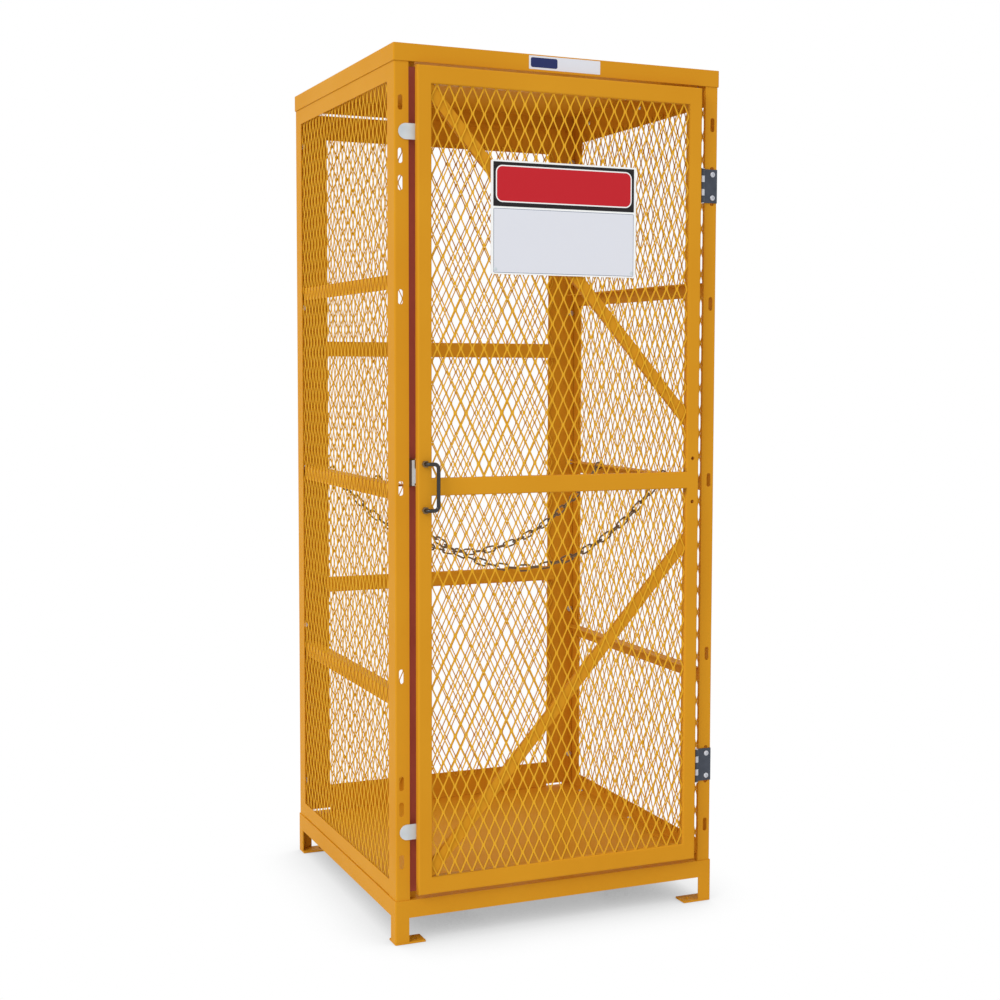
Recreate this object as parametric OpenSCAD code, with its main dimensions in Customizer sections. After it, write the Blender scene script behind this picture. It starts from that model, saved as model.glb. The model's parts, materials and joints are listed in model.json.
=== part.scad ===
// Storage cage for upright gas cylinders: folded sheet base and roof, mesh walls,
// a braced mesh door on two butt hinges and two retaining chains.
// Millimetres. The origin is on the ground at the centre of the square base,
// +X to the hinge side, +Y to the back, +Z up.

/* [Cage] */
// Outside width of the base and roof
cage_w = 740; // [640:1:1200]
// Outside depth of the base and roof
cage_d = 740; // [640:1:1000]
// Overall height
cage_h = 1830; // [1750:1:2100]
// Sheet thickness of the base and roof pressings
sheet_t = 2; // [1.5:0.1:3]
// Outer corner radius of folded and rolled sections
fold_r = 3; // [2.5:0.5:5]
// Height of the base rim
base_rim_h = 37; // [30:1:60]
// Height of the roof rim
roof_rim_h = 35; // [30:1:60]

/* [Legs and feet] */
// Height of the base rim above the ground
leg_clear_h = 55; // [40:1:120]
// Leg angle, width of each flange
leg_flange = 30; // [28:1:45]
// Leg angle, wall
leg_t = 3; // [2:0.5:5]
// Foot plate length along the front
foot_len = 66; // [60:1:90]
// Foot plate width along the side
foot_wid = 40; // [36:1:60]
// Foot plate thickness
foot_t = 4; // [3:0.5:8]
// Bolt-down hole diameter
foot_hole_d = 11; // [9:0.5:13]
// Bolt-down hole centre from the inner end of the foot plate
foot_hole_inset = 18; // [12:1:20]

/* [Corner posts] */
// Post flange on the front and back, with the slots
post_face = 30; // [27:1:34]
// Post flange on the sides
post_side = 45; // [35:1:60]
// Post wall
post_t = 2; // [1.5:0.1:3]
// Returned lip at the inner edge of the front posts
post_lip = 8; // [7:0.5:12]
// Outer bend radius of the returned lip
lip_r = 5; // [3.5:0.5:6]
// Depth of the rebate behind the latch side of the door
rebate_depth = 18.5; // [17:0.5:24]
// Stop flange at the bottom of the rebate
rebate_flange = 20; // [16:0.5:22]
// Slot width
slot_w = 10; // [9:0.5:12]
// Slot length
slot_len = 30; // [20:1:40]
// Slot centres from the outer side of the post
slot_edge = 12.5; // [12:0.5:14]
// End slots from the base and from the roof rim
slot_end = 81.5; // [60:0.5:150]

/* [Side panels] */
// Visible face of the top rail below the roof rim
side_top_face = 35; // [25:1:60]
// Face of the bottom rail above the base
side_bottom_face = 34; // [25:1:60]
// Foot of the bottom rail and head of the top rail, inward
side_rail_lip = 28; // [20:1:32]
// Height of a side crossbar, an angle with its flange at the top
side_bar_h = 30; // [24:1:50]
// Reach of the top flange of a side crossbar
side_bar_flange = 30; // [24:1:36]
// Wall of a side crossbar
side_bar_t = 3; // [2:0.5:4]
// Middle side crossbar, centre above the ground
side_bar_mid_z = 933; // [850:1:1000]
// Pitch of the side crossbars
side_bar_pitch = 427; // [300:1:450]

/* [Back panel] */
// Width of the back stiles
back_stile_w = 71; // [55:1:90]
// Height of the back top and bottom rails
back_rail_h = 58; // [45:1:90]
// Height of a back crossbar, a tube
back_bar_h = 36; // [20:1:60]
// Depth of a back crossbar
bar_depth = 15; // [12:1:18]
// Wall of a back crossbar
bar_wall = 1.5; // [1:0.1:3]
// Pitch of the two back crossbars
back_bar_pitch = 574; // [400:1:700]
// Gap above the back panel, and below its two stiles
back_end_gap = 6; // [3:1:12]

/* [Mesh] */
// Thickness of the expanded mesh
mesh_t = 4; // [2:0.5:5]
// Width of a mesh strand
mesh_strand = 8; // [5:0.5:12]
// Lap of the mesh behind the fixed frames
mesh_lap = 12; // [6:1:20]
// Diamonds across a fixed wall
mesh_cols = 6; // [3:1:6]
// Diamonds up a fixed wall
mesh_rows = 8; // [4:1:8]
// Diamonds across the door
door_mesh_cols = 6; // [3:1:6]
// Diamonds up each half of the door
door_mesh_rows = 4; // [2:1:6]

/* [Door] */
// Gap beside the door on the latch side
door_gap_latch = 12; // [10:0.5:14]
// Gap beside the door on the hinge side
door_gap_hinge = 19; // [17:0.5:22]
// Gap above the door
door_gap_top = 8; // [5:1:15]
// Gap below the door
door_gap_bottom = 13; // [8:1:25]
// Depth of the door frame tubes
door_t = 18; // [16:0.5:25]
// Wall of the door frame tubes
door_wall = 1.5; // [1:0.1:2.5]
// Outer corner radius of the door and crossbar tubes
tube_r = 3; // [2:0.5:3.5]
// Width of the door stiles
door_stile_w = 30; // [26:1:45]
// Height of the door rails
door_rail_h = 36; // [26:1:60]
// Set back of the mesh behind the face of the door
door_mesh_back = 3; // [2.5:0.5:5]
// Width of a diagonal brace
brace_w = 25; // [18:1:35]
// Wall of a diagonal brace
brace_t = 2.5; // [2:0.5:4]
// Brace end on the latch side, centre below the corner of the opening
brace_corner = 11; // [5:1:60]
// Brace end on the hinge side, centre from the middle of the door
brace_near = 137; // [80:1:300]

/* [Door furniture] */
// Handle rod diameter
handle_d = 8; // [6:0.5:10]
// Distance between the handle holes
handle_pitch = 94; // [80:1:140]
// Rod centre in front of the door face
handle_rise = 16; // [15.5:0.5:24]
// Sideways crank of the grip
handle_crank = 23; // [20:1:50]
// Centreline bend radius of the handle
handle_bend = 9; // [8:0.5:9]
// Across flats of the handle nuts
handle_nut_af = 13; // [12:0.5:16]
// Door stop tab, width and round end diameter
stop_w = 32; // [20:1:40]
// Door stop tab, reach past the edge of the door
stop_reach = 34; // [20:1:38]
// Door stops, centre from the middle of the door
stop_z = 711; // [600:1:760]
// Width of the sign
sign_w = 330; // [200:1:400]
// Height of the sign
sign_h = 231; // [150:1:300]
// Thickness of the sign
sign_t = 2; // [1:0.5:2]
// Sign rivet diameter
rivet_d = 4; // [3:0.5:5]
// Sign rivets, centre from the edges of the sign
sign_rivet_inset = 10; // [8:1:20]
// Sign centre above the middle of the door
sign_z = 548; // [450:1:600]

/* [Hinges] */
// Hinge leaf height
leaf_h = 72; // [60:1:100]
// Hinge leaf width beyond the knuckle
leaf_w = 32; // [28:0.5:34]
// Hinge leaf thickness
leaf_t = 2.5; // [2:0.1:3]
// Hinge knuckle radius
knuckle_r = 5.5; // [5:0.1:6]
// Hinge pin diameter
pin_d = 5; // [4:0.5:6]
// Hinge centres from the middle of the door
hinge_z = 636; // [500:1:700]
// Distance between the two screws of a leaf
hinge_screw_pitch = 50; // [40:1:54]
// Distance between the two slots behind a hinge
hinge_slot_pitch = 54; // [44:1:60]

/* [Catch] */
// Height of the magnetic catch
catch_h = 52; // [40:1:60]
// Catch centre above the middle of the door
catch_z = 28; // [10:1:40]
// Width of the catch
catch_w = 16; // [12:0.5:17]
// Height of the strike plate
strike_h = 30; // [20:1:34]
// Width of the strike plate
strike_w = 20; // [14:1:28]
// Strike plate centre below the catch centre
strike_drop = 6; // [0:1:10]
// Catch screw diameter
catch_screw_d = 4; // [3:0.5:5]
// Catch screws, centre from the ends of the catch
catch_screw_inset = 7; // [6:1:12]

/* [Chains] */
// Wire diameter of a link
link_wire = 4; // [3:0.5:5]
// Inside length of a link
link_in = 26; // [22:0.5:32]
// Inside width of a link
link_gap = 9; // [8.5:0.5:12]
// Links in each chain
links = 31; // [31:2:35]
// Front ring of the left panel, in front of the middle
eye_front_y = 140; // [60:5:240]
// Rear ring of the left panel, behind the middle; the right panel is the same one turned round
eye_rear_y = 200; // [60:5:240]
// Inside radius of a chain ring
eye_in_r = 6; // [6:0.5:8]
// Ring holes, centre from the edge of the crossbar flange
eye_inset = 8; // [8:0.5:8.5]

/* [Fasteners] */
// Frame bolt diameter
bolt_d = 8; // [6:1:8]
// Across flats of the frame bolts and nuts
bolt_af = 13; // [10:0.5:13]
// Frame bolt length under the head
bolt_len = 12; // [11.5:0.5:20]
// Rim and hinge screw diameter
screw_d = 6; // [5:0.5:8]
// Across flats of the hinge nuts
screw_nut_af = 10; // [8:0.5:13]
// Spacing of the rim screws along each side
rim_screw_pitch = 280; // [200:5:290]
// Roof screws above the lower edge of the roof rim
roof_screw_rise = 9; // [7:0.5:20]

/* [Hidden] */
$fn = 48;

// Clearances
hole_clear = 0.4;
stop_clear = 0.3;
pin_clear = 0.05;
knuckle_gap = 0.4;
leaf_gap = 1;
link_clear = 0.3;
eye_hole_play = 3.5;
eye_clear = 0.5;
end_clear = 0.1;
cut = 1;

// Proportions of nuts and heads to their thread
nut_ratio = 0.8;
nut_flange_ratio = 1.3;
bolt_head_ratio = 0.65;
screw_head_ratio = 2;
screw_head_h_ratio = 0.5;
thread_tail = 1.2;
min_fold_r = 0.5;

// Levels above the ground
base_top = leg_clear_h + base_rim_h;
roof_under = cage_h - sheet_t;
rim_low = cage_h - roof_rim_h;
mid_z = (base_top + rim_low) / 2;
roof_screw_z = rim_low + roof_screw_rise;
slot_pitch = (rim_low - base_top - 2 * slot_end) / 4;

// Planes of the nested frames: posts inside the rims, mesh inside the posts
half_w = cage_w / 2;
half_d = cage_d / 2;
post_x = half_w - sheet_t;
post_y = half_d - sheet_t;
slot_x = post_x - slot_edge;
hinge_slot_len = min(slot_len, hinge_slot_pitch - slot_w);
mesh_x = post_x - post_t - mesh_t;
side_bar_edge = mesh_x - side_bar_flange;
back_face_y = post_y - post_t - post_t;
back_mesh_y = back_face_y - mesh_t;
back_bar_y = back_mesh_y - bar_depth;

// Side panel opening
side_open_d = 2 * (post_y - post_side);
side_low = base_top + side_bottom_face;
side_high = rim_low - side_top_face;

// Back panel
back_low = base_top + back_end_gap;
back_high = rim_low - back_end_gap;
back_edge_x = slot_x + bolt_d + hole_clear;
back_open_x = back_edge_x - back_stile_w;

// Door
door_back_y = -post_y - leaf_t;
door_face_y = door_back_y - door_t;
door_left = -post_x + post_face + door_gap_latch;
door_right = post_x - post_face - door_gap_hinge;
door_low = base_top + door_gap_bottom;
door_high = rim_low - door_gap_top;
door_mid = (door_low + door_high) / 2;
door_in_left = door_left + door_stile_w;
door_in_right = door_right - door_stile_w;
door_in_w = door_in_right - door_in_left;
door_mesh_y = door_face_y + door_mesh_back;
brace_y = door_mesh_y + mesh_t;
half_open_low = door_low + door_rail_h;
half_open_h = door_mid - door_rail_h / 2 - half_open_low;
brace_far = door_mid - half_open_low - brace_corner;
brace_slope = norm([door_in_w, brace_far - brace_near]) / door_in_w;
brace_rise = brace_w * brace_slope;
handle_x = door_left + door_stile_w / 2;
spare_x = door_right - door_stile_w / 2;
rod_y = door_face_y - handle_rise;
handle_nut_h = nut_ratio * handle_d;
stop_short = 4;
sign_corner_r = 4;
rivet_head_d = 2 * rivet_d;
rivet_head_h = 1;

// Hinges
axis_x = post_x - post_face - door_gap_hinge / 2;
axis_y = -post_y - knuckle_r;
leaf_start = knuckle_r + leaf_gap;
knuckles = 5;
knuckle_pitch = leaf_h / knuckles;
pin_head_h = 1.5;
pin_head_r = knuckle_r - 1;
screw_head_h = screw_head_h_ratio * screw_d;
screw_head_d = screw_head_ratio * screw_d;
screw_nut_h = nut_ratio * screw_d;

// Catch
catch_x = -post_x + post_face + leaf_gap;
catch_mid = door_mid + catch_z;
catch_face_y = -post_y + stop_clear;
stop_flange_y = -post_y + rebate_depth - post_t;
catch_head_h = screw_head_h_ratio * catch_screw_d;
catch_screw_grip = 8;

// Chains
link_bend = (link_gap + link_wire) / 2;
link_straight = link_in + link_wire - 2 * link_bend;
link_run = link_in - link_clear;
eye_bend = eye_in_r + link_wire / 2;
eye_hole_d = link_wire + eye_hole_play;
eye_bridge = eye_inset - eye_hole_d / 2;
eye_x = side_bar_edge - (eye_in_r - eye_bridge - eye_clear);
eye_z = side_bar_mid_z + side_bar_h / 2 - side_bar_t / 2;
chain_y = (eye_front_y + eye_rear_y) / 2;
chain_slant = atan((eye_rear_y - eye_front_y) / 2 / eye_x);
half_span = eye_x / cos(chain_slant);
end_reach = eye_in_r - link_clear + link_in / 2;
chain_half = (links - 1) / 2 * link_run;
sag_max = 20 * cage_w;
sag_steps = 40;
chain_a = sag_scale(1, sag_max, sag_steps);
chain_root = sqrt(chain_a * chain_a + chain_half * chain_half);
chain_low = eye_z - end_reach * chain_half / chain_root - chain_root;

cage_yellow = "#E3A92B";
mesh_yellow = "#D99A2A";
zinc = "#B9BCC4";
dark_zinc = "#4D5460";
white_plate = "#F2F2EE";

// Catenary of a chain that hangs between its eyes
function asinh(t) = ln(t + sqrt(t * t + 1));
function reach(a) = a * asinh(chain_half / a) + end_reach * a / sqrt(a * a + chain_half * chain_half);
function sag_scale(lo, hi, n) =
  let (m = (lo + hi) / 2)
  n == 0 ? m : reach(m) < half_span ? sag_scale(m, hi, n - 1) : sag_scale(lo, m, n - 1);

// Square with one rounded corner at the origin
module corner_square(a, b, r) {
  translate([r, 0]) square([a - r, b]);
  translate([0, r]) square([a, b - r]);
  translate([r, r]) circle(r);
}

// Folded angle section with its heel at the origin
module angle_2d(a, b, t, r = fold_r) {
  difference() {
    corner_square(a, b, r);
    translate([t, t]) corner_square(a, b, max(r - t, min_fold_r));
  }
}

// Rectangle with four rounded corners, centred
module round_rect(w, h, r) {
  square([w - 2 * r, h], center = true);
  square([w, h - 2 * r], center = true);
  for (x = [-1, 1], y = [-1, 1]) {
    translate([x * (w / 2 - r), y * (h / 2 - r)]) circle(r);
  }
}

// Slot with round ends, long side up
module slot_2d(w, l) {
  square([w, l - w], center = true);
  for (y = [-1, 1]) {
    translate([0, y * (l - w) / 2]) circle(d = w);
  }
}

// Upright tube with its corner at the origin, between two end plates of its own wall
module closed_tube(a, b, len, wall) {
  translate([a / 2, b / 2, 0]) difference() {
    linear_extrude(len) round_rect(a, b, tube_r);
    translate([0, 0, wall]) linear_extrude(len - 2 * wall)
      round_rect(a - 2 * wall, b - 2 * wall, max(tube_r - wall, min_fold_r));
  }
}

// Cylinder along Y that starts at the given Y
module rod_along_y(d, y0, y1) {
  translate([0, y0, 0]) rotate([-90, 0, 0]) cylinder(d = d, h = y1 - y0);
}

// Plate in the XZ plane, from an outline in X and Z
module plate_xz(y0, t) {
  translate([0, y0 + t, 0]) rotate([90, 0, 0]) linear_extrude(t) children();
}

// Places a left side part on the left, or mirrors it to the right
module on_side(right) {
  mirror([right ? 1 : 0, 0, 0]) children();
}

// Base and roof

module base_tray() color(cage_yellow) {
  translate([0, 0, base_top - sheet_t]) linear_extrude(sheet_t) difference() {
    round_rect(cage_w, cage_d, fold_r);
    rim_screw_points() circle(d = screw_d + hole_clear);
  }
  for (s = [-1, 1]) {
    translate([0, s * (half_d - sheet_t / 2), base_top - base_rim_h / 2])
      cube([cage_w - 2 * leg_flange, sheet_t, base_rim_h], center = true);
    translate([s * (half_w - sheet_t / 2), 0, base_top - base_rim_h / 2])
      cube([sheet_t, cage_d - 2 * leg_flange, base_rim_h], center = true);
  }
}

// Plan positions of the screws in the bottom rails
module rim_screw_points() {
  for (s = [-1, 1], k = [-1, 0, 1]) {
    translate([s * (post_x - side_rail_lip / 2), k * rim_screw_pitch]) children();
  }
}

module leg(sx, sy) color(cage_yellow) {
  mirror([sx > 0 ? 1 : 0, 0, 0]) mirror([0, sy > 0 ? 1 : 0, 0])
    translate([-half_w, -half_d, foot_t])
      linear_extrude(base_top - sheet_t - foot_t) angle_2d(leg_flange, leg_flange, leg_t);
}

module foot_plates() color(cage_yellow) {
  for (sx = [0, 1], sy = [0, 1]) {
    mirror([sx, 0, 0]) mirror([0, sy, 0]) translate([-half_w, -half_d, 0])
      linear_extrude(foot_t) difference() {
        corner_square(foot_len, foot_wid, fold_r);
        translate([foot_len - foot_hole_inset, foot_wid / 2]) circle(d = foot_hole_d);
      }
  }
}

module roof_panel() color(cage_yellow) difference() {
  translate([0, 0, rim_low]) linear_extrude(roof_rim_h) round_rect(cage_w, cage_d, fold_r);
  translate([0, 0, rim_low - cut]) linear_extrude(roof_rim_h - sheet_t + cut)
    round_rect(cage_w - 2 * sheet_t, cage_d - 2 * sheet_t, fold_r - sheet_t);
}

// Corner posts of the side panels: the rear ones are plain angles, the front right one has a
// returned lip, and the front left one is rebated behind the latch side of the door

module post(right, back) color(cage_yellow) on_side(right)
  mirror([0, back ? 1 : 0, 0]) difference() {
    translate([-post_x, -post_y, base_top]) linear_extrude(roof_under - base_top) {
      angle_2d(post_face, post_side, post_t);
      if (!back) front_edge_2d(right ? post_lip : rebate_depth);
      if (!back && !right) rebate_flange_2d();
    }
    for (k = [-2 : 2]) {
      post_slot(mid_z + k * slot_pitch, slot_len);
    }
    for (s = [-1, 1], k = [-1, 1]) {
      post_slot(door_mid + s * hinge_z + k * hinge_slot_pitch / 2, hinge_slot_len);
    }
    if (!back && !right) {
      at_catch_screws()
        rod_along_y(catch_screw_d + hole_clear, stop_flange_y - cut, stop_flange_y + post_t + cut);
    }
  }

module front_edge_2d(depth) {
  translate([post_face, 0]) mirror([1, 0]) angle_2d(post_face / 2, depth, post_t, lip_r);
}

module rebate_flange_2d() {
  translate([post_face - post_t, rebate_depth]) mirror([0, 1])
    angle_2d(rebate_flange, rebate_depth / 2, post_t);
}

module post_slot(z, l) {
  translate([-slot_x, 0, z]) plate_xz(-post_y - cut, post_t + 2 * cut) slot_2d(slot_w, l);
}

// Side panels, drawn on the left

module top_rail(right) color(cage_yellow) on_side(right) difference() {
  translate([-post_x, side_open_d / 2, roof_under]) rotate([90, 0, 0])
    linear_extrude(side_open_d)
      mirror([0, 1]) angle_2d(side_rail_lip, roof_under - side_high, post_t);
  for (k = [-1, 0, 1]) {
    translate([-half_w, k * rim_screw_pitch, roof_screw_z])
      rotate([0, 90, 0]) cylinder(d = screw_d + hole_clear, h = 2 * side_rail_lip, center = true);
  }
}

module bottom_rail(right) color(cage_yellow) on_side(right) difference() {
  translate([-post_x, side_open_d / 2, base_top]) rotate([90, 0, 0])
    linear_extrude(side_open_d) angle_2d(side_rail_lip, side_bottom_face, post_t);
  translate([0, 0, base_top - cut]) linear_extrude(post_t + 2 * cut)
    rim_screw_points() circle(d = screw_d + hole_clear);
}

// The chain rings pass through holes in the top flange of the middle crossbar
module side_crossbar(right, k) color(cage_yellow) on_side(right) difference() {
  translate([-mesh_x, side_open_d / 2 + mesh_lap, side_bar_mid_z + k * side_bar_pitch + side_bar_h / 2])
    rotate([90, 0, 0]) linear_extrude(side_open_d + 2 * mesh_lap)
      mirror([0, 1]) angle_2d(side_bar_flange, side_bar_h, side_bar_t);
  if (k == 0) {
    for (y = right ? [eye_front_y, -eye_rear_y] : [-eye_front_y, eye_rear_y]) {
      translate([-side_bar_edge - eye_inset, y, eye_z])
        cylinder(d = eye_hole_d, h = 2 * side_bar_t, center = true);
    }
  }
}

module side_mesh(right) color(mesh_yellow) on_side(right)
  translate([-mesh_x - mesh_t, 0, (side_low + side_high) / 2])
    rotate([90, 0, 90])
      mesh_sheet(side_open_d, side_high - side_low, mesh_lap, mesh_cols, mesh_rows);

// Expanded mesh as a sheet of diamond gaps inside a plain border
module mesh_sheet(w, h, lap, cols, rows) {
  cell_w = w / cols;
  cell_h = h / rows;
  edge = norm([cell_w, cell_h]) / 2 * mesh_strand / 2;
  hole_x = cell_w / 2 - edge / (cell_h / 2);
  hole_y = cell_h / 2 - edge / (cell_w / 2);
  linear_extrude(mesh_t) difference() {
    square([w + 2 * lap, h + 2 * lap], center = true);
    intersection() {
      square([w - mesh_strand / 2, h - mesh_strand / 2], center = true);
      for (i = [0 : 2 * cols], j = [0 : 2 * rows]) {
        on_edge = (i == 0 || i == 2 * cols) && (j == 0 || j == 2 * rows);
        if (i % 2 == j % 2 && !on_edge) {
          translate([i * cell_w / 2 - w / 2, j * cell_h / 2 - h / 2])
            polygon([[-hole_x, 0], [0, -hole_y], [hole_x, 0], [0, hole_y]]);
        }
      }
    }
  }
}

// Back panel

module back_stile(right) color(cage_yellow) on_side(right) difference() {
  translate([-back_edge_x, back_face_y, back_low]) cube([back_stile_w, post_t, back_high - back_low]);
  for (k = [-2 : 2]) {
    translate([-slot_x, 0, mid_z + k * slot_pitch])
      rod_along_y(bolt_d + hole_clear, back_face_y - cut, back_face_y + post_t + cut);
  }
}

module back_rail(z0, z1) color(cage_yellow)
  translate([-back_open_x, back_face_y, z0]) cube([2 * back_open_x, post_t, z1 - z0]);

module back_crossbar(s) color(cage_yellow)
  translate([-back_open_x - mesh_lap, back_bar_y, mid_z + s * back_bar_pitch / 2 - back_bar_h / 2])
    rotate([90, 0, 90]) closed_tube(bar_depth, back_bar_h, 2 * (back_open_x + mesh_lap), bar_wall);

module back_mesh() color(mesh_yellow)
  translate([0, back_face_y, mid_z]) rotate([90, 0, 0])
    mesh_sheet(2 * back_open_x, back_high - back_low - 2 * back_rail_h, mesh_lap, mesh_cols, mesh_rows);

// Door

module door_stile(x0, hole_x) color(cage_yellow) difference() {
  translate([x0, door_face_y, door_low])
    closed_tube(door_stile_w, door_t, door_high - door_low, door_wall);
  for (s = [-1, 1]) {
    translate([hole_x, 0, door_mid + s * handle_pitch / 2])
      rod_along_y(handle_d + hole_clear, door_face_y - cut, door_back_y + cut);
  }
}

module door_rail(z) color(cage_yellow)
  translate([door_in_left, door_face_y, z])
    rotate([90, 0, 90]) closed_tube(door_t, door_rail_h, door_in_w, door_wall);

module door_mesh(z) color(mesh_yellow)
  translate([(door_in_left + door_in_right) / 2, brace_y, z]) rotate([90, 0, 0])
    mesh_sheet(door_in_w, half_open_h, 0, door_mesh_cols, door_mesh_rows);

// Angle brace behind the mesh, from the latch side corner to the hinge side; its leg is on the
// edge towards the middle of the door
module door_brace(s) color(cage_yellow) translate([0, 0, door_mid]) mirror([0, 0, s > 0 ? 0 : 1]) {
  brace_strip(brace_rise, brace_t);
  brace_strip(brace_t * brace_slope, door_back_y - brace_y);
}

// Strip of a brace, from its lower edge up to the given upright width, inside the opening
module brace_strip(rise, t) {
  far_z = brace_far - brace_rise / 2;
  near_z = brace_near - brace_rise / 2;
  plate_xz(brace_y, t) intersection() {
    polygon([
      [door_in_left, far_z], [door_in_right, near_z],
      [door_in_right, near_z + rise], [door_in_left, far_z + rise]
    ]);
    translate([door_in_left, door_rail_h / 2]) square([door_in_w, half_open_h]);
  }
}

// Door furniture

module handle_half() {
  grip_x = handle_x + handle_crank;
  top_z = handle_pitch / 2;
  translate([handle_x, 0, top_z])
    rod_along_y(handle_d, rod_y + handle_bend, door_back_y + handle_nut_h + thread_tail);
  translate([handle_x + handle_bend, rod_y + handle_bend, top_z])
    rotate([0, 0, 180]) rotate_extrude(angle = 90) translate([handle_bend, 0]) circle(d = handle_d);
  translate([handle_x + handle_bend, rod_y, top_z])
    rotate([0, 90, 0]) cylinder(d = handle_d, h = handle_crank - 2 * handle_bend);
  translate([grip_x - handle_bend, rod_y, top_z - handle_bend])
    rotate([90, 0, 0]) rotate_extrude(angle = 90) translate([handle_bend, 0]) circle(d = handle_d);
  translate([grip_x, rod_y, 0]) cylinder(d = handle_d, h = top_z - handle_bend);
}

module pull_handle() color(dark_zinc) translate([0, 0, door_mid]) {
  handle_half();
  mirror([0, 0, 1]) handle_half();
}

// Hexagon nut on Y, from the face at y0 outwards along the given sign
module hex_nut(y0, s, bore, af, h, flange_ratio = 0) {
  translate([0, y0, 0]) rotate([s > 0 ? -90 : 90, 0, 0]) difference() {
    union() {
      cylinder(d = af / cos(30), h = h, $fn = 6);
      if (flange_ratio > 0) cylinder(d = flange_ratio * af, h = h / 4);
    }
    translate([0, 0, -cut]) cylinder(d = bore, h = h + 2 * cut);
  }
}

module handle_nuts() color(dark_zinc) for (s = [-1, 1]) {
  translate([handle_x, 0, door_mid + s * handle_pitch / 2]) {
    hex_nut(door_face_y, -1, handle_d + 2 * end_clear, handle_nut_af, handle_nut_h);
    hex_nut(door_back_y, 1, handle_d + 2 * end_clear, handle_nut_af, handle_nut_h);
  }
}

module door_stops() color(zinc) for (s = [-1, 1]) {
  translate([door_left, 0, door_mid + s * stop_z])
    plate_xz(door_back_y, leaf_t - stop_clear) {
      translate([-stop_reach + stop_w / 2, 0]) circle(d = stop_w);
      translate([-stop_reach + stop_w / 2, -stop_w / 2])
        square([stop_reach - stop_w / 2 + door_stile_w - stop_short, stop_w]);
    }
}

module sign_holes() {
  for (x = [-1, 1], z = [-1, 1]) {
    translate([x * (sign_w / 2 - sign_rivet_inset), z * (sign_h / 2 - sign_rivet_inset)]) children();
  }
}

module at_sign() {
  translate([(door_in_left + door_in_right) / 2, 0, door_mid + sign_z]) children();
}

module sign_plate() color(white_plate) at_sign() plate_xz(door_mesh_y - sign_t, sign_t) difference() {
  round_rect(sign_w, sign_h, sign_corner_r);
  sign_holes() circle(d = rivet_d + hole_clear);
}

module sign_rivets() color(zinc) at_sign() {
  plate_xz(door_mesh_y - sign_t, sign_t) sign_holes() circle(d = rivet_d);
  plate_xz(door_mesh_y - sign_t - rivet_head_h, rivet_head_h) sign_holes() circle(d = rivet_head_d);
}

// Hinges: knuckles 0, 2 and 4 belong to the post leaf, 1 and 3 to the door leaf

module leaf(first, s) {
  difference() {
    union() {
      translate([s > 0 ? leaf_start : -leaf_w - leaf_start, knuckle_r - leaf_t, -leaf_h / 2])
        cube([leaf_w, leaf_t, leaf_h]);
      for (k = [first : 2 : knuckles - 1]) {
        translate([0, 0, -leaf_h / 2 + k * knuckle_pitch + knuckle_gap / 2]) {
          cylinder(r = knuckle_r, h = knuckle_pitch - knuckle_gap);
          translate([s > 0 ? 0 : -leaf_start - cut, knuckle_r - leaf_t, 0])
            cube([leaf_start + cut, leaf_t, knuckle_pitch - knuckle_gap]);
        }
      }
    }
    cylinder(d = pin_d + 2 * pin_clear, h = leaf_h + 2 * cut, center = true);
  }
}

module post_leaf(s) color(dark_zinc) difference() {
  translate([axis_x, axis_y, door_mid + s * hinge_z]) leaf(0, 1);
  for (k = [-1, 1]) {
    translate([slot_x, 0, door_mid + s * hinge_z + k * hinge_screw_pitch / 2])
      rod_along_y(screw_d + hole_clear, -post_y - leaf_t - cut, -post_y + cut);
  }
}

module door_leaf(s) color(zinc)
  translate([axis_x, axis_y, door_mid + s * hinge_z]) leaf(1, -1);

module hinge_pins() color(zinc) for (s = [-1, 1]) {
  translate([axis_x, axis_y, door_mid + s * hinge_z]) {
    cylinder(d = pin_d, h = leaf_h, center = true);
    for (k = [0, 1]) {
      mirror([0, 0, k]) translate([0, 0, leaf_h / 2]) cylinder(r = pin_head_r, h = pin_head_h);
    }
  }
}

module at_hinge_screws() {
  for (s = [-1, 1], k = [-1, 1]) {
    translate([slot_x, 0, door_mid + s * hinge_z + k * hinge_screw_pitch / 2]) children();
  }
}

module hinge_screws() color(zinc) at_hinge_screws() {
  rod_along_y(screw_head_d, -post_y - leaf_t - screw_head_h, -post_y - leaf_t);
  rod_along_y(screw_d, -post_y - leaf_t - screw_head_h, -post_y + post_t + screw_nut_h + thread_tail);
}

module hinge_nuts() color(zinc) at_hinge_screws()
  hex_nut(-post_y + post_t, 1, screw_d + 2 * end_clear, screw_nut_af, screw_nut_h, nut_flange_ratio);

// Magnetic catch: a case on the stop flange of the latch post, and a plate on the door

module catch_case() color(zinc) difference() {
  translate([catch_x, catch_face_y, catch_mid - catch_h / 2])
    cube([catch_w, stop_flange_y - catch_face_y, catch_h]);
  at_catch_screws()
    rod_along_y(catch_screw_d + hole_clear, stop_flange_y - catch_screw_grip, stop_flange_y + cut);
}

module at_catch_screws() {
  for (s = [-1, 1]) {
    translate([catch_x + catch_w / 2, 0, catch_mid + s * (catch_h / 2 - catch_screw_inset)]) children();
  }
}

// The head bears on the back of the stop flange and the shank ends in the case
module catch_screws() color(dark_zinc) at_catch_screws() {
  rod_along_y(catch_screw_d, stop_flange_y - catch_screw_grip, stop_flange_y + post_t);
  rod_along_y(screw_head_ratio * catch_screw_d, stop_flange_y + post_t,
    stop_flange_y + post_t + catch_head_h);
}

module strike_plate() color(zinc)
  translate([door_left, door_back_y, catch_mid - strike_h / 2 - strike_drop])
    cube([strike_w, leaf_t, strike_h]);

// Chains

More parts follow.
